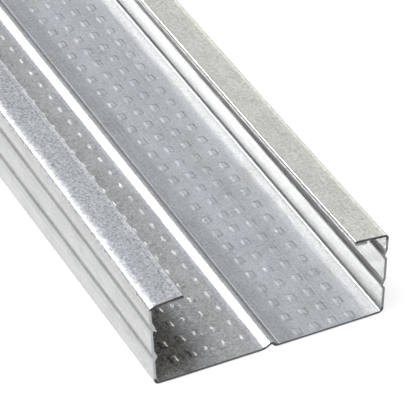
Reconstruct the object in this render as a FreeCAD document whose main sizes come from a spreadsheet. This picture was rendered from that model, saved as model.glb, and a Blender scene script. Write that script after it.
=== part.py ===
import FreeCAD, Part
import math
import os
import Sketcher

# A ceiling furring channel: one length of thin galvanised strip, roll formed to a C section.
# It lies on its web with the open side up. X runs across, Y along the length and Z up.
# The origin is the middle of the web's underside, at half the length. Sizes are in millimetres.

doc = FreeCAD.newDocument("ceiling_channel")
sizes = doc.addObject("Spreadsheet::Sheet", "Sizes")

DRIVING_SIZES = [
    ("length", 3000, "length that the channel is sold in"),
    ("width", 46, "across the flanges, outside"),
    ("depth", 17.6, "from the web's underside to the flanges' top corners"),
    ("sheet", 0.5, "thickness of the strip"),
    ("corner_bend", 0.5, "inside radius where web, flange and lip meet"),
    ("groove_bend", 0.3, "inside radius of the small bends of rib and grooves"),
    ("rib_width", 3.4, "web's middle rib, across its feet"),
    ("rib_crown", 0.6, "web's middle rib, across its flat crown"),
    ("rib_rise", 0.75, "height that the rib is pressed up into the channel"),
    ("edge_run", 3.6, "strip of web beside each flange that rolls upwards"),
    ("edge_rise", 0.4, "height that this strip gains at the flange"),
    ("edge_bend", 12, "radius where the strip leaves the flat web"),
    ("groove_width", 1.6, "flange groove, across its mouth"),
    ("groove_depth", 0.5, "flange groove, pressed inwards"),
    ("upper_groove", 4.2, "flange's top corner down to the upper groove"),
    ("lower_groove", 11.15, "flange's top corner down to the lower groove"),
    ("lip_width", 6.15, "flange's outer face to the start of the lip's fold"),
    ("lip_rise", 0.4, "height that the lip gains towards the opening"),
    ("hem_width", 2, "strip folded back under the lip"),
    ("hem_gap", 0.1, "room left between lip and hem"),
]
for row, (alias, value, meaning) in enumerate(DRIVING_SIZES, start=1):
    sizes.set(f"A{row}", meaning)
    sizes.set(f"B{row}", str(value))
    sizes.setAlias(f"B{row}", alias)
doc.recompute()

# The section is drawn as the path of the strip's outer face, for the half with X above 0.
# Each corner has its place across, its height (None lies on the web's underside) and the
# sizes that add up to its bend radius: a bend round the outside is wider by the thickness.
INWARD_BEND = ["groove_bend"]
OUTWARD_BEND = ["groove_bend", "sheet"]
CORNER_BEND = ["corner_bend", "sheet"]
FLANGE_FACE = "Sizes.width / 2"


def groove_corners(groove):
    """The three corners of one flange groove, from its lower foot to its upper foot."""
    middle = f"Sizes.depth - Sizes.{groove}"
    return [
        (f"{groove}_lower_foot", FLANGE_FACE, f"{middle} - Sizes.groove_width / 2", OUTWARD_BEND),
        (f"{groove}_floor", f"{FLANGE_FACE} - Sizes.groove_depth", middle, INWARD_BEND),
        (f"{groove}_upper_foot", FLANGE_FACE, f"{middle} + Sizes.groove_width / 2", OUTWARD_BEND),
    ]


corners = [
    ("rib_crown", "Sizes.rib_crown / 2", "Sizes.rib_rise", INWARD_BEND),
    ("rib_foot", "Sizes.rib_width / 2", None, OUTWARD_BEND),
    ("web_edge", f"{FLANGE_FACE} - Sizes.edge_run", None, ["edge_bend"]),
    ("web_corner", FLANGE_FACE, "Sizes.edge_rise", CORNER_BEND),
    *groove_corners("lower_groove"),
    *groove_corners("upper_groove"),
    ("lip_corner", FLANGE_FACE, "Sizes.depth", CORNER_BEND),
]
lip_end = ("lip_end", f"{FLANGE_FACE} - Sizes.lip_width", "Sizes.depth + Sizes.lip_rise")

body = doc.addObject("PartDesign::Body", "Channel")
body.Label = "furring_channel"
planes = {plane.Role: plane for plane in body.Origin.OriginFeatures}

section = body.newObject("Sketcher::SketchObject", "Section")
section.AttachmentSupport = [(planes["XZ_Plane"], "")]
section.MapMode = "FlatFace"

# How a sketch counts a line's two ends, and its own origin and axes.
ends = {"start": 1, "end": 2}
datum = {"origin": (-1, 1), "across": -1, "upright": -2}


def relate(kind, *items):
    """Add a geometric relation to the section."""
    section.addConstraint(Sketcher.Constraint(kind, *items))


def dimension(name, expression, *definition):
    """Add a named dimension to the section and bind it to the sheet."""
    index = section.addConstraint(Sketcher.Constraint(*definition))
    section.renameConstraint(index, name)
    section.setExpression(f"Constraints.{name}", expression)


def place_end(line, name, across, height):
    """Fix the end of a line at its place across and its height."""
    point = (line, ends["end"])
    drawn = section.getPoint(*point)
    dimension(f"{name}_across", across, "DistanceX", *datum["origin"], *point, drawn.x)
    if height is None:
        relate("PointOnObject", *point, datum["across"])
    else:
        dimension(f"{name}_height", height, "DistanceY", *datum["origin"], *point, drawn.y)


# The strip's straight runs: drawn roughly, then brought to size by their constraints.
lines = []
for step in range(len(corners) + 1):
    rough_start = FreeCAD.Vector(step, step ** 2, 0)
    rough_end = FreeCAD.Vector(step + 1, (step + 1) ** 2, 0)
    lines.append(section.addGeometry(Part.LineSegment(rough_start, rough_end)))
relate("PointOnObject", lines[0], ends["start"], datum["upright"])
relate("Horizontal", lines[0])
for before, after in zip(lines, lines[1:]):
    relate("Coincident", before, ends["end"], after, ends["start"])
for line, (name, across, height, _) in zip(lines, corners):
    place_end(line, name, across, height)
place_end(lines[-1], *lip_end)
doc.recompute()

# The bends, one at each corner of the path.
for line, (name, _, _, bend_sizes) in zip(lines, corners):
    radius = sum(sizes.get(alias) for alias in bend_sizes)
    arc = section.GeometryCount
    section.fillet(line, ends["end"], radius, True, True)
    bend = " + ".join(f"Sizes.{alias}" for alias in bend_sizes)
    dimension(f"{name}_bend", bend, "Radius", arc, radius)

# The hem: the lip's end is folded back under it, all but flat.
lip = lines[-1]
fold_radius = sizes.get("sheet") + sizes.get("hem_gap") / 2
fold_start = section.getPoint(lip, ends["end"])
along = (fold_start - section.getPoint(lip, ends["start"])).normalize()
inward = FreeCAD.Vector(-along.y, along.x, 0)
fold_centre = fold_start + inward * fold_radius
fold_circle = Part.Circle(fold_centre, FreeCAD.Vector(0, 0, 1), fold_radius)
fold_angle = math.atan2(-inward.y, -inward.x)
fold = section.addGeometry(Part.ArcOfCircle(fold_circle, fold_angle, fold_angle + math.pi))
hem_start = fold_centre + inward * fold_radius
hem_end = hem_start - along * sizes.get("hem_width")
hem = section.addGeometry(Part.LineSegment(hem_start, hem_end))
relate("Tangent", lip, ends["end"], fold, ends["start"])
relate("Tangent", fold, ends["end"], hem, ends["start"])
relate("Parallel", lip, hem)
dimension("fold_bend", "Sizes.sheet + Sizes.hem_gap / 2", "Radius", fold, fold_radius)
dimension("hem_length", "Sizes.hem_width", "Distance", hem, sizes.get("hem_width"))
doc.recompute()

# The strip's thickness lies inwards of the path.
strip = body.newObject("PartDesign::SubShapeBinder", "Strip")
strip.Support = [(section, "")]
strip.OffsetFill = True
strip.OffsetOpenResult = True
strip.setExpression("Offset", "Sizes.sheet")
doc.recompute()

# Half of the channel is run out along the length, equally to both sides, then mirrored.
half = body.newObject("PartDesign::Pad", "HalfChannel")
half.Profile = (strip, [""])
half.SideType = "Symmetric"
half.setExpression("Length", "Sizes.length")
doc.recompute()

whole = body.newObject("PartDesign::Mirrored", "WholeChannel")
whole.Originals = [half]
whole.MirrorPlane = (planes["YZ_Plane"], [""])
whole.Refine = True
body.Tip = whole
doc.recompute()

for item in doc.Objects:
    if "Invalid" in item.State or "Error" in item.State:
        raise RuntimeError(f"{item.Name} failed: {item.State}")
if not section.FullyConstrained:
    raise RuntimeError("the section's path is not fully constrained")
shape = body.Shape
if shape.isNull() or not shape.isValid() or len(shape.Solids) != 1:
    raise RuntimeError("the channel is not one valid solid")

os.makedirs("parts", exist_ok=True)
shape.exportStep(f"parts/{body.Label}.step")
print(f"{body.Label}: {shape.Volume / 1000:.1f} cubic centimetres, {len(shape.Faces)} faces")
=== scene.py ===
# %% [markdown]
# # A ceiling furring channel
#
# The part is one length of thin galvanised strip. Rollers have bent it into a C with a ribbed web,
# grooved flanges and hemmed lips, and a knurled roller has pressed rows of dimples into the web.
# This lesson dresses the imported model. It sweeps the section afresh with true bends, presses the
# dimples in, spreads the cut ends a little and gives the strip its zinc finish, with painted shade
# and painted highlights in its colour.

# %% Load the imported model
import math

import bmesh
import bpy
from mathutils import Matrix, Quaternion, Vector


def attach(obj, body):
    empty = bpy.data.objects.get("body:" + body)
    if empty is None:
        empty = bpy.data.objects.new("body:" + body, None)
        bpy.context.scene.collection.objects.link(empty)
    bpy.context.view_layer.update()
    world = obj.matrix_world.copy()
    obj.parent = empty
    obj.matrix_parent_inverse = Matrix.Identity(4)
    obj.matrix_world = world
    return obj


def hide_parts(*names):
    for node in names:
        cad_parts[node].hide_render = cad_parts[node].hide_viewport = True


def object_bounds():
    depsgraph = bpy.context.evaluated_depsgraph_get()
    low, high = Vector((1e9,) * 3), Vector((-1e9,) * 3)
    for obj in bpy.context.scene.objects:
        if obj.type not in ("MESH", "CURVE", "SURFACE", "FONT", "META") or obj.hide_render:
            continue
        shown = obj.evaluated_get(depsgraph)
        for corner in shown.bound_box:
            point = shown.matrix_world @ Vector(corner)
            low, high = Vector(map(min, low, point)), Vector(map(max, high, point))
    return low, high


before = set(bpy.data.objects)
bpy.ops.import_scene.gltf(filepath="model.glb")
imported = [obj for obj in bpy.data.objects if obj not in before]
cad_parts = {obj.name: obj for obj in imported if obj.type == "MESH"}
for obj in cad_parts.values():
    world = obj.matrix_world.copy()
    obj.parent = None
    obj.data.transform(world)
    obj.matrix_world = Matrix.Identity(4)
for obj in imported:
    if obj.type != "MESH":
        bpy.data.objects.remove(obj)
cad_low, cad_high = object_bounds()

MM = 0.001
CHANNEL = "furring_channel"
print("packed nodes:", sorted(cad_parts))
print("packed box in mm:", [round(side / MM, 2) for side in cad_high - cad_low])

# %% [markdown]
# ## Small tools for node trees
#
# Geometry Nodes and shaders are both node trees. They could be wired by hand, one call for each
# node, option and link. Two short helpers say the same in one line, so that the cells below read as
# a recipe: add a node, calculate with numbers.

# %% Helpers for nodes
def add_node(tree, kind, inputs=(), **options):
    """Add a node, set its options, and fill its inputs with values or links."""
    node = tree.nodes.new(kind)
    for name, value in options.items():
        setattr(node, name, value)
    for socket, value in dict(inputs).items():
        if isinstance(value, bpy.types.NodeSocket):
            tree.links.new(value, node.inputs[socket])
        else:
            node.inputs[socket].default_value = value
    return node


def calculate(tree, operation, *values):
    """Add a Math node for one operation and return its result."""
    return add_node(tree, "ShaderNodeMath", enumerate(values), operation=operation).outputs[0]


print("helpers ready:", add_node.__name__, "and", calculate.__name__)

# %% [markdown]
# ## Running a tree
#
# A Geometry Nodes tree works as a modifier on an object. It could stay live there, but the finished
# piece should be a plain mesh that any program can read. So each tree is run once on a carrier,
# its result is copied out as a mesh, and modifier and carrier are thrown away. The sizes of a tree
# are named inputs, so that one tree can be run again with other values.

# %% Start, end and run a tree
WELD = 0.005 * MM


def start_tree(name, **inputs):
    """Start a Geometry Nodes tree that works on a geometry, with named inputs of its own."""
    tree = bpy.data.node_groups.new(name, "GeometryNodeTree")
    tree.is_modifier = True
    tree.interface.new_socket("Geometry", in_out="INPUT", socket_type="NodeSocketGeometry")
    for title, kind in inputs.items():
        tree.interface.new_socket(title, in_out="INPUT", socket_type=f"NodeSocket{kind}")
    tree.interface.new_socket("Geometry", in_out="OUTPUT", socket_type="NodeSocketGeometry")
    return tree, add_node(tree, "NodeGroupInput").outputs


def end_tree(tree, geometry, material):
    """Finish a tree: real faces in place of instances, welded, with a material on them."""
    real = add_node(tree, "GeometryNodeRealizeInstances", {"Geometry": geometry})
    joined = {"Geometry": real.outputs[0], "Distance": WELD}
    welded = add_node(tree, "GeometryNodeMergeByDistance", joined)
    coat = {"Geometry": welded.outputs[0], "Material": material}
    painted = add_node(tree, "GeometryNodeSetMaterial", coat)
    add_node(tree, "NodeGroupOutput", {"Geometry": painted.outputs[0]})


def run_tree(start_mesh, tree, **values):
    """Run a tree on a mesh and return what it makes as a plain mesh."""
    carrier = bpy.data.objects.new(tree.name, start_mesh)
    bpy.context.scene.collection.objects.link(carrier)
    modifier = carrier.modifiers.new(tree.name, "NODES")
    modifier.node_group = tree
    for item in tree.interface.items_tree:
        if item.in_out == "INPUT" and item.name in values:
            modifier[item.identifier] = values[item.name]
    depsgraph = bpy.context.evaluated_depsgraph_get()
    made = bpy.data.meshes.new_from_object(carrier.evaluated_get(depsgraph), depsgraph=depsgraph)
    carrier.modifiers.remove(modifier)
    bpy.data.objects.remove(carrier)
    return made


print("trees weld their corners within", WELD / MM, "mm")

# %% [markdown]
# ## The section
#
# The section is drawn once, as the path of the strip's outer face over half of the width: from the
# middle of the rib, along the web, up the flange, over the lip and round the hem. Points could be
# typed in one by one, but a roll former thinks in corners and bend radii. So the path is a list of
# corners, and each bend is a true arc. A step to the left of the path gives the inner face, because
# the strip has the same thickness everywhere, also in its bends.
#
# The rollers have not pressed both halves quite alike: the rib leans to the right, with a long
# slope on its left. A size that differs has one value for the left side, -1, and one for the right.

# %% Sizes of the rib and the web
SHEET = 0.5 * MM
RIB_SHIFT = 0.3 * MM
RIB_CROWN = 0.25 * MM
RIB_RISE = 0.85 * MM
RIB_BEND = 0.3 * MM
RIB_RUN = {-1: 1.4 * MM, 1: 0.65 * MM}
RIB_FOOT_BEND = {-1: 2.7 * MM, 1: 1.2 * MM}
EDGE_RUN = 3.9 * MM
EDGE_RISE = 0.137 * MM
EDGE_BEND = 3.0 * MM
WEB_BEND = 0.6 * MM

flange = cad_high.x
front, back = cad_low.y, cad_high.y
path_start = (0, RIB_RISE)


def rib_corners(side):
    """The crown's edge and the foot of the rib on one side, with their bend radii on the outer face."""
    foot = RIB_CROWN / 2 + RIB_RUN[side]
    return [((RIB_CROWN / 2, RIB_RISE), RIB_BEND), ((foot, 0), RIB_FOOT_BEND[side] + SHEET)]


print("half width", round(flange / MM, 2), "mm, rib", round(RIB_RISE / MM, 2), "mm high")

# %% [markdown]
# ## Flanges and lips
#
# Two grooves stiffen each flange. A round groove would be simpler, but the rollers leave it slanted:
# steep below its bottom and long above it. At the top the strip turns inwards over a low shoulder
# and runs on as the lip, which rises a little to its fold.

# %% Corners of the flanges and lips
GROOVE_HEIGHTS = (6.38 * MM, 12.9 * MM)
GROOVE_DEPTH = 0.5 * MM
GROOVE_BELOW = 0.64 * MM
GROOVE_ABOVE = 1.27 * MM
GROOVE_BEND = 0.3 * MM
LIP_BEND = 0.3 * MM
LIP_RISE = {-1: 0.62 * MM, 1: 0.45 * MM}
LIP_WIDTH = 6.85 * MM
SHOULDER_RUN = {-1: 1.5 * MM, 1: 1.1 * MM}
SHOULDER_RISE = {-1: 0.5 * MM, 1: 0.12 * MM}
SHOULDER_BEND = {-1: 5.0 * MM, 1: 2.0 * MM}

lip_top = cad_high.z
flange_top = lip_top - LIP_RISE[-1]
fold_top = Vector((flange - LIP_WIDTH, lip_top))


def groove_corners(crest):
    """The three corners of one flange groove, with their bend radii on the outer face."""
    foot_bend = GROOVE_BEND + SHEET
    return [
        ((flange, crest - GROOVE_BELOW), foot_bend),
        ((flange - GROOVE_DEPTH, crest), GROOVE_BEND),
        ((flange, crest + GROOVE_ABOVE), foot_bend),
    ]


def side_corners(side):
    """The corners from the web's edge to the lip's shoulder on one side, with their bend radii."""
    lip_start = lip_top - LIP_RISE[side]
    shoulder = (flange - SHOULDER_RUN[side], lip_start + SHOULDER_RISE[side])
    return [
        ((flange - EDGE_RUN, 0), EDGE_BEND),
        ((flange, EDGE_RISE), WEB_BEND + SHEET),
        *(corner for crest in GROOVE_HEIGHTS for corner in groove_corners(crest)),
        ((flange, lip_start), LIP_BEND + SHEET),
        (shoulder, SHOULDER_BEND[side]),
    ]


print("flange top at", round(flange_top / MM, 2), "mm,", len(side_corners(1)), "corners from web to lip")

# %% [markdown]
# ## Bends
#
# At each corner the path turns round an arc. The arc starts before the corner, by its radius times
# the tangent of half the turn, so that both straights touch it. A Bevel modifier could round the
# corners too, but here every bend keeps its own radius, and a point on the inner face goes with each
# point on the outer one.

# %% Arcs
STEP = math.radians(12)
FEWEST_STEPS = 3


def heading_of(start, end):
    """The direction from one point of the path to the next, as an angle."""
    return math.atan2(end[1] - start[1], end[0] - start[0])


def ahead_of(heading):
    """A step of one along the path."""
    return Vector((math.cos(heading), math.sin(heading)))


def left_of(heading):
    """A step of one to the left of the path."""
    return Vector((-math.sin(heading), math.cos(heading)))


def arc(start, heading, turn, radius):
    """Pairs of outer and inner points round a bend that starts at a point of the path."""
    reach = math.copysign(radius, turn)
    middle = Vector(start) + left_of(heading) * reach
    steps = max(FEWEST_STEPS, math.ceil(abs(turn) / STEP))
    pairs = []
    for step in range(steps + 1):
        left = left_of(heading + turn * step / steps)
        outer_point = middle - left * reach
        pairs.append((outer_point, outer_point + left * SHEET))
    return pairs


print("a right angle takes", math.ceil(math.pi / 2 / STEP), "steps")

# %% Follow the corners
def follow(before, bends, after):
    """Pairs of points round a row of corners, between two points of the path."""
    places = [before] + [corner for corner, radius in bends] + [after]
    pairs = []
    for (corner, radius), last, coming in zip(bends, places, places[2:]):
        heading = heading_of(last, corner)
        turn = math.remainder(heading_of(corner, coming) - heading, 2 * math.pi)
        setback = radius * math.tan(abs(turn) / 2)
        pairs += arc(Vector(corner) - ahead_of(heading) * setback, heading, turn, radius)
    return pairs


rib_pairs = {}
side_pairs = {}
for side in (-1, 1):
    rib_pairs[side] = follow(path_start, rib_corners(side), side_corners(side)[0][0])
    side_pairs[side] = follow(rib_corners(side)[-1][0], side_corners(side), fold_top)
    print("side", side, "has", len(rib_pairs[side]) + len(side_pairs[side]), "pairs of points")

# %% [markdown]
# ## The hem
#
# A hem is the lip's edge, folded back flat under the lip. It stiffens the lip and hides the sharp
# edge. The fold is too tight for the rule of the other bends, so its outer face gets two small
# bends, and its inner face is a half circle round the narrow gap.

# %% Fold the hem
FOLD_BEND = 0.4 * MM
HEM_WIDTH = 2.5 * MM
HEM_GAP = 0.1 * MM
HEM_HEIGHT = 2 * SHEET + HEM_GAP


def split_pairs(pairs):
    """The outer points and the inner points of a list of pairs."""
    outer_points = [outer_point for outer_point, inner_point in pairs]
    inner_points = [inner_point for outer_point, inner_point in pairs]
    return outer_points, inner_points


def add_hem(side):
    """Outer and inner points of one side, from the web's edge to the hem's end."""
    outer_points, inner_points = split_pairs(side_pairs[side])
    lip_start = side_corners(side)[-1][0]
    heading = heading_of(lip_start, fold_top)
    ahead, down = ahead_of(heading), left_of(heading)
    fold_bottom = fold_top + down * HEM_HEIGHT
    hem_end = fold_bottom - ahead * HEM_WIDTH
    fold_bends = [(fold_top, FOLD_BEND), (fold_bottom, FOLD_BEND)]
    round_fold = split_pairs(follow(lip_start, fold_bends, hem_end))[0]
    in_gap = split_pairs(arc(fold_top - ahead * SHEET, heading, math.pi, HEM_HEIGHT / 2))[1]
    return outer_points + round_fold + [hem_end], inner_points + in_gap + [hem_end - down * SHEET]


print("hem", round(HEM_WIDTH / MM, 2), "mm wide and", round(HEM_HEIGHT / MM, 2), "mm thick")

# %% [markdown]
# ## Two chains and a gap for the dimples
#
# The web's two flat panels, between the rib and the rolled-up edges, carry the dimples. Their upper
# faces are left out here, and the dimpled panels close the gap later. What remains of the section
# is two open chains: one from panel to panel, round the lips and underneath, and one over the rib.

# %% The section as two chains
def mirrored(points):
    """The same points on the other half, in the other order."""
    return [Vector((-point.x, point.y)) for point in reversed(points)]


over_rib = {}
round_lip = {}
for side, pairs in rib_pairs.items():
    shift = Vector((side * RIB_SHIFT, 0))
    under_rib, over = split_pairs(pairs)
    side_outer, side_inner = add_hem(side)
    outer = [point + shift for point in under_rib] + side_outer
    over_rib[side] = [point + shift for point in over]
    round_lip[side] = side_inner + outer[::-1]
chains = [mirrored(over_rib[-1]) + over_rib[1], round_lip[1] + mirrored(round_lip[-1])]
panel_inside = {side: points[-1].x for side, points in over_rib.items()}
panel_outside = round_lip[1][0].x
web_top = over_rib[1][-1].y
print("panels end", round(panel_outside / MM, 2), "mm from the middle")

# %% [markdown]
# ## The strip's material, to begin with
#
# The trees below end by giving their faces a material. It starts empty here, so that every piece
# can point to it, and gets its zinc finish and its painted shade and highlights in its own step
# further down.

# %% An empty material
# The material carries the zinc and the painted shade and highlights.
zinc = bpy.data.materials.new("zinc_and_painted_light")
zinc.use_nodes = True
print("material", zinc.name)

# %% [markdown]
# ## Sweeping the section, with spread ends
#
# A rolled strip is its section, run along a straight line. It could be extruded in one go, but the
# cut ends need more care: the rollers leave stress in the metal, so where the strip is cut, the
# flanges spring outwards a little, and the spread fades away along the channel. The rail of the
# sweep therefore has stations that crowd towards its ends. Curve to Mesh makes the strip, and Set
# Position turns each flange about the web's corner by an angle that fades with the distance from
# the end. Curve to Mesh lays a profile's Y axis downwards on this rail, so heights are drawn
# negative.

# %% Draw the chains as edges
section = bpy.data.meshes.new("section")
section_points = []
section_edges = []
for chain in chains:
    first = len(section_points)
    section_points += [(point.x, -point.y, 0) for point in chain]
    section_edges += [(place, place + 1) for place in range(first, first + len(chain) - 1)]
section.from_pydata(section_points, section_edges, [])
print("section of", len(section_points), "points in", len(chains), "chains")

# %% The tree that sweeps the strip
sweep_inputs = {
    "Half Length": "Float",
    "Stations": "Int",
    "Crowding": "Float",
    "End Spread": "Float",
    "Fade Length": "Float",
    "Flange Reach": "Float",
    "Corner Across": "Float",
    "Corner Height": "Float",
    "Web Top": "Float",
    "Material": "Material",
}
sweep, given = start_tree("rolled_strip", **sweep_inputs)

profile = add_node(sweep, "GeometryNodeMeshToCurve", {"Mesh": given["Geometry"]}).outputs[0]
straight = add_node(sweep, "GeometryNodeCurvePrimitiveLine", {"Start": (0, -1, 0), "End": (0, 1, 0)})
stations = {"Curve": straight.outputs[0], "Count": given["Stations"]}
even = add_node(sweep, "GeometryNodeResampleCurve", stations)
rail_position = add_node(sweep, "GeometryNodeInputPosition").outputs[0]
rail_share = add_node(sweep, "ShaderNodeSeparateXYZ", {0: rail_position}).outputs["Y"]
left_over = calculate(sweep, "SUBTRACT", 1, calculate(sweep, "ABSOLUTE", rail_share))
crowded = calculate(sweep, "SUBTRACT", 1, calculate(sweep, "POWER", left_over, given["Crowding"]))
signed = calculate(sweep, "MULTIPLY", crowded, calculate(sweep, "SIGN", rail_share))
station = calculate(sweep, "MULTIPLY", signed, given["Half Length"])
station_place = add_node(sweep, "ShaderNodeCombineXYZ", {"Y": station}).outputs[0]
rail = add_node(sweep, "GeometryNodeSetPosition", {"Geometry": even.outputs[0], "Position": station_place})
swept = {"Curve": rail.outputs[0], "Profile Curve": profile}
strip = add_node(sweep, "GeometryNodeCurveToMesh", swept).outputs[0]
print("tree", sweep.name, "sweeps the strip with", len(sweep.nodes), "nodes")

# %% The same tree spreads the ends
position = add_node(sweep, "GeometryNodeInputPosition").outputs[0]
place = add_node(sweep, "ShaderNodeSeparateXYZ", {0: position}).outputs
half = calculate(sweep, "SIGN", place["X"])
from_end = calculate(sweep, "SUBTRACT", given["Half Length"], calculate(sweep, "ABSOLUTE", place["Y"]))
fade = calculate(sweep, "DIVIDE", from_end, calculate(sweep, "MULTIPLY", given["Fade Length"], -1))
spread = calculate(sweep, "MULTIPLY", given["End Spread"], calculate(sweep, "EXPONENT", fade))
angle = calculate(sweep, "ARCTANGENT", calculate(sweep, "DIVIDE", spread, given["Flange Reach"]))
beside_web = calculate(sweep, "GREATER_THAN", calculate(sweep, "ABSOLUTE", place["X"]), flange / 2)
rise = calculate(sweep, "SUBTRACT", place["Z"], given["Web Top"])
bend_limits = {"Value": rise, "From Min": EDGE_RISE, "From Max": EDGE_RISE + SHEET + WEB_BEND}
above_bend = add_node(sweep, "ShaderNodeMapRange", bend_limits, interpolation_type="SMOOTHSTEP").outputs[0]
turn = calculate(sweep, "MULTIPLY", angle, calculate(sweep, "MULTIPLY", above_bend, beside_web))
hinge_across = calculate(sweep, "MULTIPLY", given["Corner Across"], half)
hinge = add_node(sweep, "ShaderNodeCombineXYZ", {"X": hinge_across, "Z": given["Corner Height"]}).outputs[0]
swing = {"Vector": position, "Center": hinge, "Angle": calculate(sweep, "MULTIPLY", turn, half)}
turned = add_node(sweep, "ShaderNodeVectorRotate", swing, rotation_type="Y_AXIS").outputs[0]
spread_strip = add_node(sweep, "GeometryNodeSetPosition", {"Geometry": strip, "Position": turned})
end_tree(sweep, spread_strip.outputs[0], given["Material"])
print("with the spread it has", len(sweep.nodes), "nodes")

# %% Run the sweep
STATIONS = 27
CROWDING = 2.5
END_SPREAD = 0.78 * MM
FADE_LENGTH = 36 * MM

strip_values = {
    "Half Length": (back - front) / 2,
    "Stations": STATIONS,
    "Crowding": CROWDING,
    "End Spread": END_SPREAD,
    "Fade Length": FADE_LENGTH,
    "Flange Reach": flange_top - SHEET,
    "Corner Across": flange - SHEET,
    "Corner Height": EDGE_RISE + SHEET,
    "Web Top": web_top,
    "Material": zinc,
}
strip_mesh = run_tree(section, sweep, **strip_values)
print("swept strip:", len(strip_mesh.polygons), "faces")

# %% [markdown]
# ## One dimple
#
# A dimple is a small pad pressed up into the channel, a rounded rectangle with sloping sides and a
# flat top. A smooth dome with hundreds of faces would be rounder, but there are nearly six thousand
# dimples. So the cell is drawn with seventeen faces: an apron on the flat sheet, a wall of eight
# sides, and the top.

# %% Draw one dimple's cell
ROW_PITCH = 4.67 * MM
COLUMN_PITCH = 3.55 * MM
DIMPLE_FOOT = Vector((0.85, 1.2)) * MM
DIMPLE_TOP = Vector((0.38, 0.73)) * MM
DIMPLE_RISE = 0.143 * MM
STRAIGHT_SHARE = 0.6
CELL_SIDES = [(-1, -1), (1, -1), (1, 1), (-1, 1)]


def draw_dimple():
    """One cell of the embossing, centred on its dimple, with the sheet's upper face at height 0."""
    cell = bmesh.new()
    rims, arriving, leaving, tops = [], [], [], []
    for number, (across, along) in enumerate(CELL_SIDES):
        rims.append(cell.verts.new((across * COLUMN_PITCH / 2, along * ROW_PITCH / 2, 0)))
        beside = cell.verts.new((across * DIMPLE_FOOT.x, along * DIMPLE_FOOT.y * STRAIGHT_SHARE, 0))
        behind = cell.verts.new((across * DIMPLE_FOOT.x * STRAIGHT_SHARE, along * DIMPLE_FOOT.y, 0))
        arriving.append((beside, behind)[number % 2])
        leaving.append((behind, beside)[number % 2])
        tops.append(cell.verts.new((across * DIMPLE_TOP.x, along * DIMPLE_TOP.y, DIMPLE_RISE)))
    for this in range(len(CELL_SIDES)):
        after = (this + 1) % len(CELL_SIDES)
        cell.faces.new((rims[this], rims[after], arriving[after], leaving[this]))
        cell.faces.new((rims[this], leaving[this], arriving[this]))
        cell.faces.new((leaving[this], arriving[after], tops[after], tops[this]))
        cell.faces.new((arriving[this], leaving[this], tops[this]))
    cell.faces.new(tops)
    mesh = bpy.data.meshes.new("dimple_cell")
    cell.to_mesh(mesh)
    cell.free()
    return mesh


print("one dimple has", len(draw_dimple().polygons), "faces")

# %% [markdown]
# ## Rows of dimples
#
# The knurled roller repeats the same dimple in rows and columns. An Array modifier could do that,
# but a small Geometry Nodes tree keeps the counts and pitches as named inputs: a grid gives the
# places, Instance on Points puts a cell on each, and the cells are made real and welded into one
# sheet. The two panels were pressed by separate rollers: their rows are out of step, and the left
# panel has five columns where the right one has four.

# %% The tree that repeats the dimple
rows_inputs = {
    "Columns": "Int",
    "Rows": "Int",
    "Column Pitch": "Float",
    "Row Pitch": "Float",
    "Panel Middle": "Vector",
    "Material": "Material",
}
rows_tree, asked = start_tree("dimple_rows", **rows_inputs)
gaps_across = calculate(rows_tree, "SUBTRACT", asked["Columns"], 1)
gaps_along = calculate(rows_tree, "SUBTRACT", asked["Rows"], 1)
grid_inputs = {
    "Size X": calculate(rows_tree, "MULTIPLY", gaps_across, asked["Column Pitch"]),
    "Size Y": calculate(rows_tree, "MULTIPLY", gaps_along, asked["Row Pitch"]),
    "Vertices X": asked["Columns"],
    "Vertices Y": asked["Rows"],
}
grid = add_node(rows_tree, "GeometryNodeMeshGrid", grid_inputs)
stamped = {"Points": grid.outputs["Mesh"], "Instance": asked["Geometry"]}
cells = add_node(rows_tree, "GeometryNodeInstanceOnPoints", stamped)
moved = {"Geometry": cells.outputs[0], "Translation": asked["Panel Middle"]}
panel = add_node(rows_tree, "GeometryNodeTransform", moved)
end_tree(rows_tree, panel.outputs[0], asked["Material"])
print("tree", rows_tree.name, "has", len(rows_tree.nodes), "nodes")

# %% Fit a panel to its flat
RIM_ROOM = 0.06 * MM


def fit_rim(mesh, low, high):
    """Pull a panel's outermost lines to the edges of its flat, and keep its dimples inside them."""
    places = [vertex.co for vertex in mesh.vertices]
    for axis in range(2):
        lowest = min(place[axis] for place in places)
        highest = max(place[axis] for place in places)
        for place in places:
            if place[axis] < lowest + WELD:
                place[axis] = low[axis]
            elif place[axis] > highest - WELD:
                place[axis] = high[axis]
            else:
                inside = max(place[axis], low[axis] + RIM_ROOM)
                place[axis] = min(inside, high[axis] - RIM_ROOM)


print("dimples stay", round(RIM_ROOM / MM, 2), "mm inside the flat")

# %% Press both panels
COLUMNS = {-1: 5, 1: 4}
FIRST_COLUMN = {-1: 2.875 * MM, 1: 6.32 * MM}
FIRST_ROW = {-1: 4.5 * MM, 1: 1.5 * MM}


def press_panel(side):
    """The dimpled upper face of the web on one side of the rib."""
    first_row = FIRST_ROW[side]
    rows = int((back - front - first_row - DIMPLE_FOOT.y) / ROW_PITCH) + 1
    middle_column = side * (FIRST_COLUMN[side] + COLUMN_PITCH * (COLUMNS[side] - 1) / 2)
    middle_row = front + first_row + ROW_PITCH * (rows - 1) / 2
    panel_values = {
        "Columns": COLUMNS[side],
        "Rows": rows,
        "Column Pitch": COLUMN_PITCH,
        "Row Pitch": ROW_PITCH,
        "Panel Middle": (middle_column, middle_row, web_top),
        "Material": zinc,
    }
    mesh = run_tree(draw_dimple(), rows_tree, **panel_values)
    edges_across = sorted((side * panel_inside[side], side * panel_outside))
    fit_rim(mesh, (edges_across[0], front), (edges_across[1], back))
    print("panel at side", side, "has", rows, "rows and", len(mesh.polygons), "faces")
    return mesh


panels = [press_panel(side) for side in (-1, 1)]

# %% [markdown]
# ## One closed piece of metal
#
# Strip and panels still lie side by side. Left like that, they would look right but would not be
# one piece. So each seam gets the same corners on both of its sides, the corners are welded, and
# the cut ends are filled. The strip then has no open edge, which the count of open edges proves.

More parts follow.
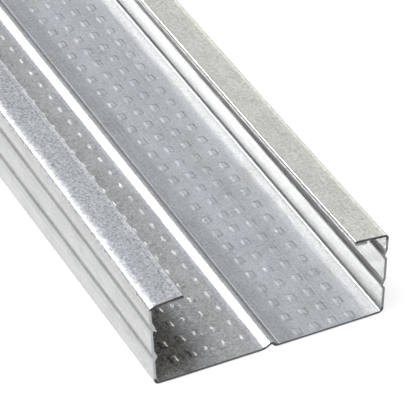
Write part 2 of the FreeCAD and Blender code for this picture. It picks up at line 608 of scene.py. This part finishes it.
# %% Match the corners along the seams
def divide_seams(metal):
    """Give both sides of every seam along the panels the same corners."""
    seams = {}
    for edge in metal.edges:
        start, end = edge.verts
        if edge.is_boundary and abs(start.co.x - end.co.x) < WELD and abs(start.co.y - end.co.y) > WELD:
            seams.setdefault(round(start.co.x / MM, 2), []).append(edge)
    for edges in seams.values():
        places = sorted({round(vertex.co.y, 7) for edge in edges for vertex in edge.verts})
        for edge in edges:
            start, end = sorted(edge.verts, key=lambda vertex: vertex.co.y)
            for place in places:
                if start.co.y + WELD < place < end.co.y - WELD:
                    share = (place - start.co.y) / (end.co.y - start.co.y)
                    start = bmesh.utils.edge_split(metal.edges.get((start, end)), start, share)[1]
    return len(seams)


metal = bmesh.new()
for mesh in (strip_mesh, *panels):
    metal.from_mesh(mesh)
print(divide_seams(metal), "seams divided")

# %% Weld and close
SHARP_ANGLE = math.radians(13)

bmesh.ops.remove_doubles(metal, verts=metal.verts, dist=WELD)
open_ends = [edge for edge in metal.edges if edge.is_boundary]
bmesh.ops.holes_fill(metal, edges=open_ends, sides=0)
bmesh.ops.recalc_face_normals(metal, faces=metal.faces)
for face in metal.faces:
    face.smooth = True
for edge in metal.edges:
    edge.smooth = edge.is_manifold and edge.calc_face_angle() < SHARP_ANGLE
loose_edges = sum(not edge.is_manifold for edge in metal.edges)
triangles = sum(len(face.verts) - 2 for face in metal.faces)
print(loose_edges, "open edges,", triangles, "triangles")
print("metal in cubic cm:", round(metal.calc_volume() * 1e6, 1))

# %% Make it the channel
channel_mesh = bpy.data.meshes.new("rolled_channel")
metal.to_mesh(channel_mesh)
metal.free()
channel_mesh.materials.clear()
channel_mesh.materials.append(zinc)
channel = bpy.data.objects.new("rolled_channel", channel_mesh)
bpy.context.scene.collection.objects.link(channel)
weighted = channel.modifiers.new("flat_faces_stay_flat", "WEIGHTED_NORMAL")
weighted.keep_sharp = True
weighted.weight = 100
depsgraph = bpy.context.evaluated_depsgraph_get()
channel.data = bpy.data.meshes.new_from_object(channel.evaluated_get(depsgraph), depsgraph=depsgraph)
channel.modifiers.remove(weighted)
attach(channel, "root")
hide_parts(CHANNEL)
print("channel has", len(channel.data.polygons), "faces")

# %% [markdown]
# ## The zinc finish
#
# Hot-dip zinc is a satin metal, half mirror and half chalk: lamps show in it as soft patches, and
# the rest of it is a pale matte grey. A fully metallic shader would turn black wherever the studio
# is dark, so Metallic stays low. Close up the grey is never even. It has soft clouds, a fine frosty
# grain, streaks along the rolling direction and small dark specks. All of them are noise textures
# on Object coordinates, measured in millimetres, so that their sizes can be read in the code.

# %% Helpers for the finish
finish = zinc.node_tree
object_place = add_node(finish, "ShaderNodeTexCoord").outputs["Object"]
millimetres = {0: object_place, "Scale": 1 / MM}
in_mm = add_node(finish, "ShaderNodeVectorMath", millimetres, operation="SCALE").outputs[0]
across, along, height = add_node(finish, "ShaderNodeSeparateXYZ", {0: in_mm}).outputs


def math_of(operation, *values):
    """Calculate with numbers in the zinc material."""
    return calculate(finish, operation, *values)


def noise_of(size, detail, roughness=0.5):
    """Noise around 0, with the size of its grain in mm across, along and up."""
    scaled = add_node(finish, "ShaderNodeVectorMath", {0: in_mm, 1: size}, operation="DIVIDE").outputs[0]
    settings = {"Vector": scaled, "Scale": 1, "Detail": detail, "Roughness": roughness}
    return math_of("SUBTRACT", add_node(finish, "ShaderNodeTexNoise", settings).outputs[0], 0.5)


def product_of(first, *others):
    """The product of values, such as masks that all have to be 1."""
    product = first
    for value in others:
        product = math_of("MULTIPLY", product, value)
    return product


def weighted_sum(*terms):
    """The sum of values, each times its weight."""
    total = 0
    for value, weight in terms:
        total = math_of("ADD", total, math_of("MULTIPLY", value, weight))
    return total


def fade_between(value, start, end):
    """0 on the start's side of a range, 1 on the end's side, with a soft step between."""
    limits = {"Value": value, "From Min": start, "From Max": end}
    return add_node(finish, "ShaderNodeMapRange", limits, interpolation_type="SMOOTHSTEP").outputs[0]


def band_of(value, low, high, edge):
    """1 between two values and 0 outside them, with soft edges."""
    return product_of(fade_between(value, low - edge, low), fade_between(value, high + edge, high))


from_middle = math_of("ABSOLUTE", across)
half_length = (back - front) / 2 / MM
to_end = math_of("SUBTRACT", half_length, math_of("ABSOLUTE", along))
print("the finish is measured in steps of", MM, "m")

# %% Clouds, grain, streaks and specks
CLOUD_SIZE = (3.0, 6.0, 3.0)
FROST_SIZE = (0.5, 0.6, 0.5)
BLOTCH_SIZE = (0.9, 1.1, 0.9)
STREAK_SIZE = (0.3, 30.0, 0.3)
SPECKS_PER_MM = 0.75
LARGEST_SPECK = 0.16

clouds = noise_of(CLOUD_SIZE, 3)
frost = noise_of(FROST_SIZE, 3, 0.7)
blotches = noise_of(BLOTCH_SIZE, 2, 0.6)
streaks = noise_of(STREAK_SIZE, 2)
spots = add_node(finish, "ShaderNodeTexVoronoi", {"Vector": in_mm, "Scale": SPECKS_PER_MM}).outputs
chosen = add_node(finish, "ShaderNodeSeparateColor", {0: spots["Color"]}).outputs[0]
speck_edge = math_of("MULTIPLY", fade_between(chosen, 0.4, 1.0), LARGEST_SPECK)
specks = fade_between(spots["Distance"], speck_edge, 0)
print("clouds of", CLOUD_SIZE, "mm, specks of up to", round(2 * LARGEST_SPECK / SPECKS_PER_MM, 2), "mm")

# %% [markdown]
# ## Where the marks and the painted light go
#
# Some marks sit at fixed places of the section, because every metre of the strip passes the same
# rollers and has the same shape, and so do the painted shade and light. They could be painted on a
# texture, but a mask from the position in the section is exact and runs on for the whole length.
# First come masks for the faces themselves. All numbers are millimetres: across from the middle, with
# the left side negative, or up from the underside. The frost is coarser on the left half, on the web
# and the lip.

# %% The faces of the section
on_web = fade_between(height, 1.2, 1.0)
on_flanges = product_of(band_of(height, 1.2, 16.8, 0.3), fade_between(from_middle, 21.6, 22.0))
on_lips = fade_between(height, 16.95, 17.15)
left_lip = product_of(on_lips, fade_between(across, -15, -16))
right_lip = product_of(on_lips, fade_between(across, 15, 16))
left_flange = fade_between(across, -21.0, -21.5)
right_flange = fade_between(across, 21.0, 21.5)
left_panel = product_of(fade_between(across, -1, -3), on_web)
off_flanges = math_of("SUBTRACT", 1, on_flanges)
coarse_grain = weighted_sum((frost, 1.0), (blotches, 0.6))
coarse_frost = product_of(coarse_grain, fade_between(across, 4.0, -14.0), off_flanges)
lip_frost = product_of(frost, math_of("SUBTRACT", right_lip, on_flanges))
print("masks for the web, the flanges and the lips, in", len(finish.nodes), "nodes so far")

# %% [markdown]
# ## Marks on the web
#
# The web is dull beside its rib, where the knurled rollers press hardest. The rib's steep slope gets
# painted shade, tinted warm like oil, and its foot a thin painted highlight. One of the rollers has
# drawn a fine bright line along the right panel, which is worn away in places. The left panel gets a
# little painted light, and the corner below the left lip gets painted shade, tinted warm like oil. A
# few stains lie about.

# %% Marks on the web
DRAWN_LINE = 14.45

steep_slope = product_of(fade_between(across, 0.8, 1.55), fade_between(across, 1.75, 1.65))
# Painted shade on the rib's steep slope, tinted warm with the oil colour below.
painted_rib_shade = product_of(steep_slope, on_web)
# A thin painted highlight along the rib's foot.
painted_rib_highlight = product_of(band_of(across, 1.8, 1.92, 0.07), on_web)
beside_rib = product_of(band_of(across, 2.2, 4.5, 2.0), on_web)
# Painted light on the left panel.
painted_panel_light = product_of(band_of(across, -9.0, -3.0, 3.0), on_web)
# Painted shade in the corner below the left lip, tinted warm with the oil colour below.
corner_shade_and_oil = product_of(band_of(across, -22.0, -16.5, 4.0), on_web)
worn = fade_between(noise_of((6.0, 14.0, 6.0), 1), -0.12, 0.12)
drawn_line = product_of(band_of(across, DRAWN_LINE - 0.05, DRAWN_LINE + 0.05, 0.05), on_web, worn)
beside_line = product_of(band_of(across, DRAWN_LINE + 0.15, DRAWN_LINE + 0.3, 0.08), on_web)
stains = product_of(fade_between(noise_of((4.0, 8.0, 4.0), 2), 0.0, 0.25), on_web)
print("marks from the rib to the drawn line,", DRAWN_LINE, "mm from the middle")

# %% [markdown]
# ## Marks on the flanges and lips
#
# The left lip gets a painted highlight along its fold, with a thin line of painted shade beside it.
# Near the end these lines have to follow the spread of the flange, so the distance is counted from
# the spread lip. The foot of each flange's inner face gets painted shade, and the left flange is
# darker and warmer below the lip's bend. In the left flange's grooves a fine line of painted shade
# runs just above each crest, a zone below it is a little darker, and the slope above it gets
# painted light. In the right flange the grooves get painted shade near the end only.

# %% Marks on the flanges and lips
spread_share = math_of("EXPONENT", math_of("DIVIDE", to_end, -FADE_LENGTH / MM))
on_lip = math_of("SUBTRACT", from_middle, math_of("MULTIPLY", spread_share, END_SPREAD / MM))
# A painted highlight along the left lip's fold, and a thin line of painted shade beside it.
painted_fold_highlight = product_of(band_of(on_lip, 16.0, 16.9, 0.4), left_lip)
painted_fold_shade = product_of(band_of(on_lip, 17.3, 17.4, 0.12), left_lip)
# Painted shade at the foot of each flange's inner face.
foot_height = product_of(fade_between(height, 0.7, 1.1), fade_between(height, 3.6, 1.6))
painted_foot_shade = product_of(foot_height, band_of(from_middle, 22.0, 22.7, 0.05))
# Darker and warmer below the lip's bend on the left flange.
darker_below_bend = product_of(band_of(height, 15.6, 16.9, 0.5), left_flange)
print("lip marks follow a spread of", round(END_SPREAD / MM, 2), "mm")

# %% Painted shade and light in the grooves
GROOVE_LINE_SHADE = (0.15, 0.5)

painted_groove_shade, painted_groove_line, painted_groove_slopes = 0, 0, 0
# Left flange: a painted shade line above each crest, darker below it, painted light on the slope above.
for crest, shade in zip(GROOVE_HEIGHTS, GROOVE_LINE_SHADE):
    level = crest / MM
    shade_band = band_of(height, level - 0.15, level + 0.7, 0.28)
    shade_line = band_of(height, level + 0.15, level + 0.25, 0.14)
    below = band_of(height, level - 1.6, level - 0.1, 0.6)
    above = band_of(height, level + 0.45, level + 1.15, 0.15)
    painted_groove_shade = math_of("ADD", painted_groove_shade, shade_band)
    painted_groove_line = math_of("ADD", painted_groove_line, math_of("MULTIPLY", shade_line, shade))
    painted_groove_slopes = math_of("ADD", painted_groove_slopes, weighted_sum((below, -0.07), (above, 0.3)))
# Painted shade in the right flange's grooves, near the ends.
painted_groove_shade = product_of(painted_groove_shade, right_flange, fade_between(to_end, 110, 40))
painted_groove_line = product_of(painted_groove_line, left_flange)
painted_groove_slopes = product_of(painted_groove_slopes, left_flange)
print("oil and dust in", len(GROOVE_HEIGHTS), "grooves of each flange")

# %% [markdown]
# ## Round each dimple
#
# The rollers press the dimples up from below, so the underside has a dent under each dimple. On top,
# painted shade lies behind each dimple, on its back and right. Both marks repeat with the dimples, so
# the position is folded into one cell of the embossing, where a soft pad is easy to draw. The painted
# shade is what a second pad, moved a little to the back and the right, has beyond the first one.

# %% A pad on every dimple
first_columns = [side * FIRST_COLUMN[side] / MM for side in (-1, 1)]
first_rows = [FIRST_ROW[side] / MM for side in (-1, 1)]
left_half = fade_between(across, 0, -0.1)
from_front = math_of("SUBTRACT", along, front / MM)


def by_side(left, right):
    """One number on the left half of the channel and another on its right half."""
    return add_node(finish, "ShaderNodeMix", {0: left_half, 2: right, 3: left}).outputs[0]


def from_dimple(value, first, pitch, reach):
    """The distance to the nearest dimple along one axis, as a share of its reach."""
    folded = math_of("PINGPONG", math_of("SUBTRACT", value, first), pitch / MM / 2)
    return math_of("DIVIDE", folded, reach / MM)


def pad_at(step):
    """1 on every dimple and 0 between them, moved by a step across and along."""
    columns = by_side(*(column + step.x / MM for column in first_columns))
    rows = by_side(*(row + step.y / MM for row in first_rows))
    beside = from_dimple(across, columns, COLUMN_PITCH, DIMPLE_FOOT.x)
    behind = from_dimple(from_front, rows, ROW_PITCH, DIMPLE_FOOT.y)
    return fade_between(math_of("MAXIMUM", beside, behind), 1.0, 0.55)


pad = pad_at(Vector((0, 0)))
print("pads start", first_columns, "mm from the middle and", first_rows, "mm from the front")

# %% Dents and painted shade at the dimples
SHADE_STEP = Vector((0.16, 0.2)) * MM

last_column = (FIRST_COLUMN[-1] + COLUMN_PITCH * (COLUMNS[-1] - 1) + DIMPLE_FOOT.x) / MM
past_rib = fade_between(from_middle, 1.6, 1.7)
short_of_edge = fade_between(from_middle, last_column + 0.3, last_column + 0.2)
no_column = band_of(across, 0, 4.4, 0.1)
past_first_row = fade_between(math_of("SUBTRACT", from_front, by_side(*first_rows)), -1.6, -1.5)
in_panel = product_of(past_rib, short_of_edge, math_of("SUBTRACT", 1, no_column), past_first_row)
dents = product_of(pad, fade_between(height, 0.3, 0.2), in_panel)
on_top = product_of(band_of(height, 0.45, 0.8, 0.1), in_panel)
# Painted shade behind each dimple, on its back and right.
painted_shade_behind = product_of(math_of("MAXIMUM", math_of("SUBTRACT", pad_at(SHADE_STEP), pad), 0), on_top)
print("dents reach out to", round(last_column, 2), "mm from the middle")

# %% [markdown]
# ## Burnished dimples in the corner
#
# In the corner below the left lip the dimples shine like small mirrors: the rollers have burnished
# their walls. White paint on one wall would fake that from one side only. So both walls turn more
# metallic, and the lamps decide which one lights up. The left side of each dimple also gets painted
# shade.

# %% Walls and painted shade in the corner
turns = math_of("DIVIDE", math_of("SUBTRACT", across, first_columns[0]), COLUMN_PITCH / MM)
part_turn = math_of("SUBTRACT", math_of("FRACT", math_of("ADD", turns, 0.5)), 0.5)
from_column = math_of("MULTIPLY", part_turn, COLUMN_PITCH / MM)
on_row = fade_between(from_dimple(from_front, first_rows[0], ROW_PITCH, DIMPLE_FOOT.y), 1.1, 0.5)
in_corner = product_of(fade_between(across, -11.5, -14.5), on_top, on_row)
wall_start, wall_end = DIMPLE_TOP.x / MM, DIMPLE_FOOT.x / MM
on_wall = band_of(math_of("ABSOLUTE", from_column), wall_start, wall_end, 0.1)
burnished = product_of(on_wall, in_corner)
# Painted shade on the left side of each dimple in the corner.
painted_wall_shade = product_of(band_of(from_column, -0.6, -0.3, 0.35), in_corner)
print("walls are burnished", round(wall_start, 2), "to", round(wall_end, 2), "mm beside a dimple's middle")

# %% [markdown]
# ## The cut ends
#
# A shear has cut the strip. The cut faces are rougher and less metallic than the zinc, like bare
# steel, and their colour is painted dark as shade. This painted shade is lighter on the left
# flange's cut, on the right flange's cut, at the lips and along the bottom edge of the cut. The
# ends could be faces with a material of their own, but a mask near the end of the length does the
# same and keeps the strip one piece with one slot.

# %% Painted shade and bare steel at the cut
CUT_REACH = 0.03
# Tone of the painted shade on the cut faces.
CUT_SHADE_TONE = 0.09

at_cut = fade_between(to_end, CUT_REACH, CUT_REACH / 3)
# Places where the cut's painted shade is lighter.
lighter_left_cut = product_of(fade_between(across, 0, -1), band_of(height, 1.5, 16.9, 0.2))
lighter_right_cut = product_of(fade_between(across, 0, 1), band_of(height, 1.5, 16.2, 0.4))
on_hem = product_of(band_of(height, 16.6, 17.6, 0.06), fade_between(from_middle, 20.2, 19.9))
lighter_cut_bottom = fade_between(height, 0.26, 0.14)
paler = weighted_sum((lighter_left_cut, 0.75), (lighter_right_cut, 0.32), (on_hem, 0.45), (lighter_cut_bottom, 0.7))
painted_cut_tone = math_of("ADD", CUT_SHADE_TONE, paler)
print("cut faces reach", CUT_REACH, "mm into the length")

# %% [markdown]
# ## Colour
#
# Zinc is a slightly blue grey, and a film of oil turns it warmer. Each mark makes the colour a share
# lighter or darker, the painted shade and highlights as well, so all marks are added up to one tone,
# which then scales the colour. Single Mix nodes for each mark would do the same with many more
# links.

# %% Colour of the zinc
ZINC_COLOR = (0.685, 0.705, 0.73)
OIL_COLOR = (0.722, 0.703, 0.672)


def mix_colors(share, first, second):
    """A blend of two colours, which is the second one where the share is 1."""
    blend = {0: share, 6: first, 7: second}
    return add_node(finish, "ShaderNodeMix", blend, data_type="RGBA").outputs[2]


grain_tones = [(clouds, 0.35), (frost, 1.0), (coarse_frost, 1.2), (lip_frost, 0.5)]
grain_tones += [(streaks, 0.3), (specks, -0.4)]
# Painted shade and light here: rib slope and foot, left panel, corner, dimples, flange feet, grooves, fold.
web_tones = [
    (painted_rib_shade, -0.4), (painted_rib_highlight, 0.6), (beside_rib, -0.1), (painted_panel_light, 0.04), (corner_shade_and_oil, -0.36),
    (drawn_line, 0.22), (beside_line, -0.08), (stains, -0.06), (painted_shade_behind, -0.22), (painted_wall_shade, -0.35),
]
side_tones = [
    (on_flanges, -0.06), (painted_foot_shade, -0.45), (darker_below_bend, -0.1), (painted_groove_shade, -0.425), (painted_groove_line, -1.0),
    (painted_groove_slopes, 1.0), (left_lip, 0.04), (painted_fold_highlight, 0.17), (painted_fold_shade, -0.15),
]
oil_parts = [
    (on_flanges, 0.65), (corner_shade_and_oil, 0.6), (left_panel, 0.5), (right_lip, 0.65), (darker_below_bend, 0.4),
    (painted_rib_shade, 1.0), (stains, 0.5),
]
tone_with_painted_light = math_of("ADD", 1, weighted_sum(*grain_tones, *web_tones, *side_tones))
tint = mix_colors(weighted_sum(*oil_parts), (*ZINC_COLOR, 1), (*OIL_COLOR, 1))
toned = {0: tint, "Scale": tone_with_painted_light}
color_with_painted_light = add_node(finish, "ShaderNodeVectorMath", toned, operation="SCALE").outputs[0]
painted_cut_color = add_node(finish, "ShaderNodeCombineColor", {0: painted_cut_tone, 1: painted_cut_tone, 2: painted_cut_tone}).outputs[0]
shader = finish.nodes["Principled BSDF"]
finish.links.new(mix_colors(at_cut, color_with_painted_light, painted_cut_color), shader.inputs["Base Color"])
print("zinc colour", ZINC_COLOR, "with", len(web_tones) + len(side_tones), "kinds of marks")

# %% [markdown]
# ## Sheen and relief
#
# The same clouds and frost that tint the zinc also change its sheen, because a rough patch is both
# duller and darker. Their relief is far too fine for real faces, so it is bump, and so are the dents
# on the underside.

# %% Bump, roughness and metal
ZINC_ROUGHNESS = 0.22
ZINC_METAL = 0.4

relief = weighted_sum((frost, 0.003), (streaks, 0.002), (dents, -DIMPLE_RISE / MM))
bump = add_node(finish, "ShaderNodeBump", {"Strength": 1, "Distance": MM, "Height": relief}).outputs[0]
finish.links.new(bump, shader.inputs["Normal"])
rougher = weighted_sum((clouds, 0.12), (frost, 0.1), (specks, 0.2), (left_lip, 0.09), (at_cut, 0.3))
finish.links.new(math_of("ADD", ZINC_ROUGHNESS, rougher), shader.inputs["Roughness"])
shinier = weighted_sum((burnished, 0.55), (at_cut, -0.3))
finish.links.new(math_of("ADD", ZINC_METAL, shinier), shader.inputs["Metallic"])
print("the finish has", len(finish.nodes), "nodes")

# %% [markdown]
# ## The floor
#
# The channel lies on white paper that fills the picture. Stronger lamps would make grey paper
# white, but they would bleach the zinc as well. So the paper glows for the rays that look at it,
# straight or in a reflection, and stays plain matte paper for the light that it throws back.
# Under the glow its matte part still darkens beneath the channel, which keeps a faint shadow.

# %% Lay the floor
FLOOR_SIZE = 60
FLOOR_GAP = 0.02 * MM
PAPER_GLOW = 0.86
PAPER_COLOR = (0.85, 0.85, 0.85, 1)
SHADOW_PAPER = (0.28, 0.28, 0.28, 1)

floor_mesh = bpy.data.meshes.new("floor")
half_floor = FLOOR_SIZE / 2
floor_corners = [(right * half_floor, ahead * half_floor, -FLOOR_GAP) for right, ahead in CELL_SIDES]
floor_mesh.from_pydata(floor_corners, [], [(0, 1, 2, 3)])
floor = bpy.data.objects.new("floor", floor_mesh)
bpy.context.scene.collection.objects.link(floor)

paper = bpy.data.materials.new("white_paper")
paper.use_nodes = True
sheet_nodes = paper.node_tree
sheet_nodes.nodes.clear()
rays = add_node(sheet_nodes, "ShaderNodeLightPath").outputs
seen = calculate(sheet_nodes, "MAXIMUM", rays["Is Camera Ray"], rays["Is Glossy Ray"])
seen = calculate(sheet_nodes, "MAXIMUM", seen, rays["Is Transmission Ray"])
plain = add_node(sheet_nodes, "ShaderNodeBsdfDiffuse", {"Color": PAPER_COLOR}).outputs[0]
dim = add_node(sheet_nodes, "ShaderNodeBsdfDiffuse", {"Color": SHADOW_PAPER}).outputs[0]
glow = add_node(sheet_nodes, "ShaderNodeEmission", {"Strength": PAPER_GLOW}).outputs[0]
lit = add_node(sheet_nodes, "ShaderNodeAddShader", {0: dim, 1: glow}).outputs[0]
surface = add_node(sheet_nodes, "ShaderNodeMixShader", {0: seen, 1: plain, 2: lit}).outputs[0]
add_node(sheet_nodes, "ShaderNodeOutputMaterial", {"Surface": surface})
floor_mesh.materials.append(paper)
print("floor of", FLOOR_SIZE, "m laid", FLOOR_GAP / MM, "mm below the channel")

# %% [markdown]
# ## The studio around it
#
# Satin metal shows the room it stands in. The room is dim on the whole and a little brighter on the
# left, where a white wall would be, so that the outer flange on that side turns pale. An image of a
# real studio could be wrapped round the scene, but a curve over the direction is enough.

# %% World
def towards(azimuth, elevation):
    """A direction, with azimuth counted from the channel's far end towards its right side."""
    turn, lift = math.radians(azimuth), math.radians(elevation)
    return Vector((math.sin(turn) * math.cos(lift), math.cos(turn) * math.cos(lift), math.sin(lift)))


BRIGHT_SIDE = towards(-100, 25)
SKY_STOPS = [(-1, 0.05), (-0.1, 0.06), (0.3, 0.1), (0.6, 0.12), (1, 0.12)]

world = bpy.data.worlds.new("studio")
bpy.context.scene.world = world
world.use_nodes = True
sky = world.node_tree
sky.nodes.clear()
direction = add_node(sky, "ShaderNodeTexCoord").outputs["Generated"]
facing = add_node(sky, "ShaderNodeVectorMath", {0: direction, 1: BRIGHT_SIDE}, operation="DOT_PRODUCT")
ramp = add_node(sky, "ShaderNodeFloatCurve", {"Value": facing.outputs["Value"]})
curve = ramp.mapping
curve.clip_min_x, curve.clip_max_x = -1, 1
curve.clip_max_y = 4
curve.extend = "HORIZONTAL"
points = curve.curves[0].points
while len(points) < len(SKY_STOPS):
    points.new(0, 0)
for point, stop in zip(points, SKY_STOPS):
    point.location = stop
curve.update()
backdrop = add_node(sky, "ShaderNodeBackground", {"Strength": ramp.outputs["Value"]}).outputs[0]
add_node(sky, "ShaderNodeOutputWorld", {"Surface": backdrop})
print("world goes from", SKY_STOPS[0][1], "to", SKY_STOPS[-1][1])

# %% [markdown]
# ## Softboxes
#
# Four soft lamps light the channel. The large one hangs high on the left: it lights the web and
# leaves the corner below the left lip dark. The strip lamp stands low at the far end. The rib's long
# slope, the rounded lip and the right flange mirror it, which makes the white lines along the
# channel. The warm card on the right shows in the right lip and in the dimples' right walls, and the
# dim violet card at the far end in the left lip. A lamp's place follows from the mirror: halfway
# between the lamp and the camera is the normal of the surface that shows it.

# %% Hang the softboxes
LAMP_DISTANCE = 6
PHOTO_AIM = Vector((8.31 * MM, front + 41.36 * MM, web_top))


def add_softbox(name, azimuth, elevation, reach, radiance, tint):
    """A large soft lamp that shines at the channel's near end, with its reach to both sides in degrees."""
    lamp = bpy.data.lights.new(name, "AREA")
    lamp.shape = "RECTANGLE"
    lamp.size = 2 * LAMP_DISTANCE * math.tan(math.radians(reach[0]))
    lamp.size_y = 2 * LAMP_DISTANCE * math.tan(math.radians(reach[1]))
    lamp.energy = radiance * math.pi * lamp.size * lamp.size_y
    lamp.color = tint
    softbox = bpy.data.objects.new(name, lamp)
    softbox.location = PHOTO_AIM + towards(azimuth, elevation) * LAMP_DISTANCE
    softbox.rotation_euler = (PHOTO_AIM - softbox.location).to_track_quat("-Z", "Y").to_euler()
    bpy.context.scene.collection.objects.link(softbox)
    print(name, "at", [round(part, 2) for part in softbox.location], "with", round(lamp.energy), "W")


add_softbox("key_softbox", -110, 70, (13, 12), 9.7, (0.95, 1.0, 1.06))
add_softbox("strip_lamp", -23, 37, (11, 8), 11.0, (1.0, 0.985, 0.95))
add_softbox("right_card", 40, 20, (12, 11), 1.8, (1.0, 0.97, 0.83))
add_softbox("far_card", 8, 44, (9, 8), 0.35, (1.05, 0.94, 1.12))

# %% [markdown]
# ## The camera
#
# The photo looks down at the cut end from the front left with a long lens: the far edges of the
# channel hardly run together. The distance, the angles and the lens were fitted to the corners of
# the cut end, the long edges and the rows of dimples, so the picture lies over the photo.

# %% Set the camera
VIEW_AZIMUTH = -25.75
VIEW_ELEVATION = 36.92
VIEW_ROLL = -0.68
VIEW_DISTANCE = 682.2 * MM
LENS = 311.0

camera_data = bpy.data.cameras.new("photo_camera")
camera_data.lens = LENS
camera_data.sensor_width = 36
camera_data.clip_start = 0.01
camera_data.clip_end = 200
camera = bpy.data.objects.new("photo_camera", camera_data)
bpy.context.scene.collection.objects.link(camera)
to_camera = towards(180 - VIEW_AZIMUTH, VIEW_ELEVATION)
camera.location = PHOTO_AIM + to_camera * VIEW_DISTANCE
camera.rotation_mode = "QUATERNION"
roll = Quaternion((0, 0, 1), math.radians(VIEW_ROLL))
camera.rotation_quaternion = (-to_camera).to_track_quat("-Z", "Y") @ roll
bpy.context.scene.camera = camera
bpy.context.scene.view_settings.view_transform = "Standard"
print("camera at", [round(part, 4) for part in camera.location])
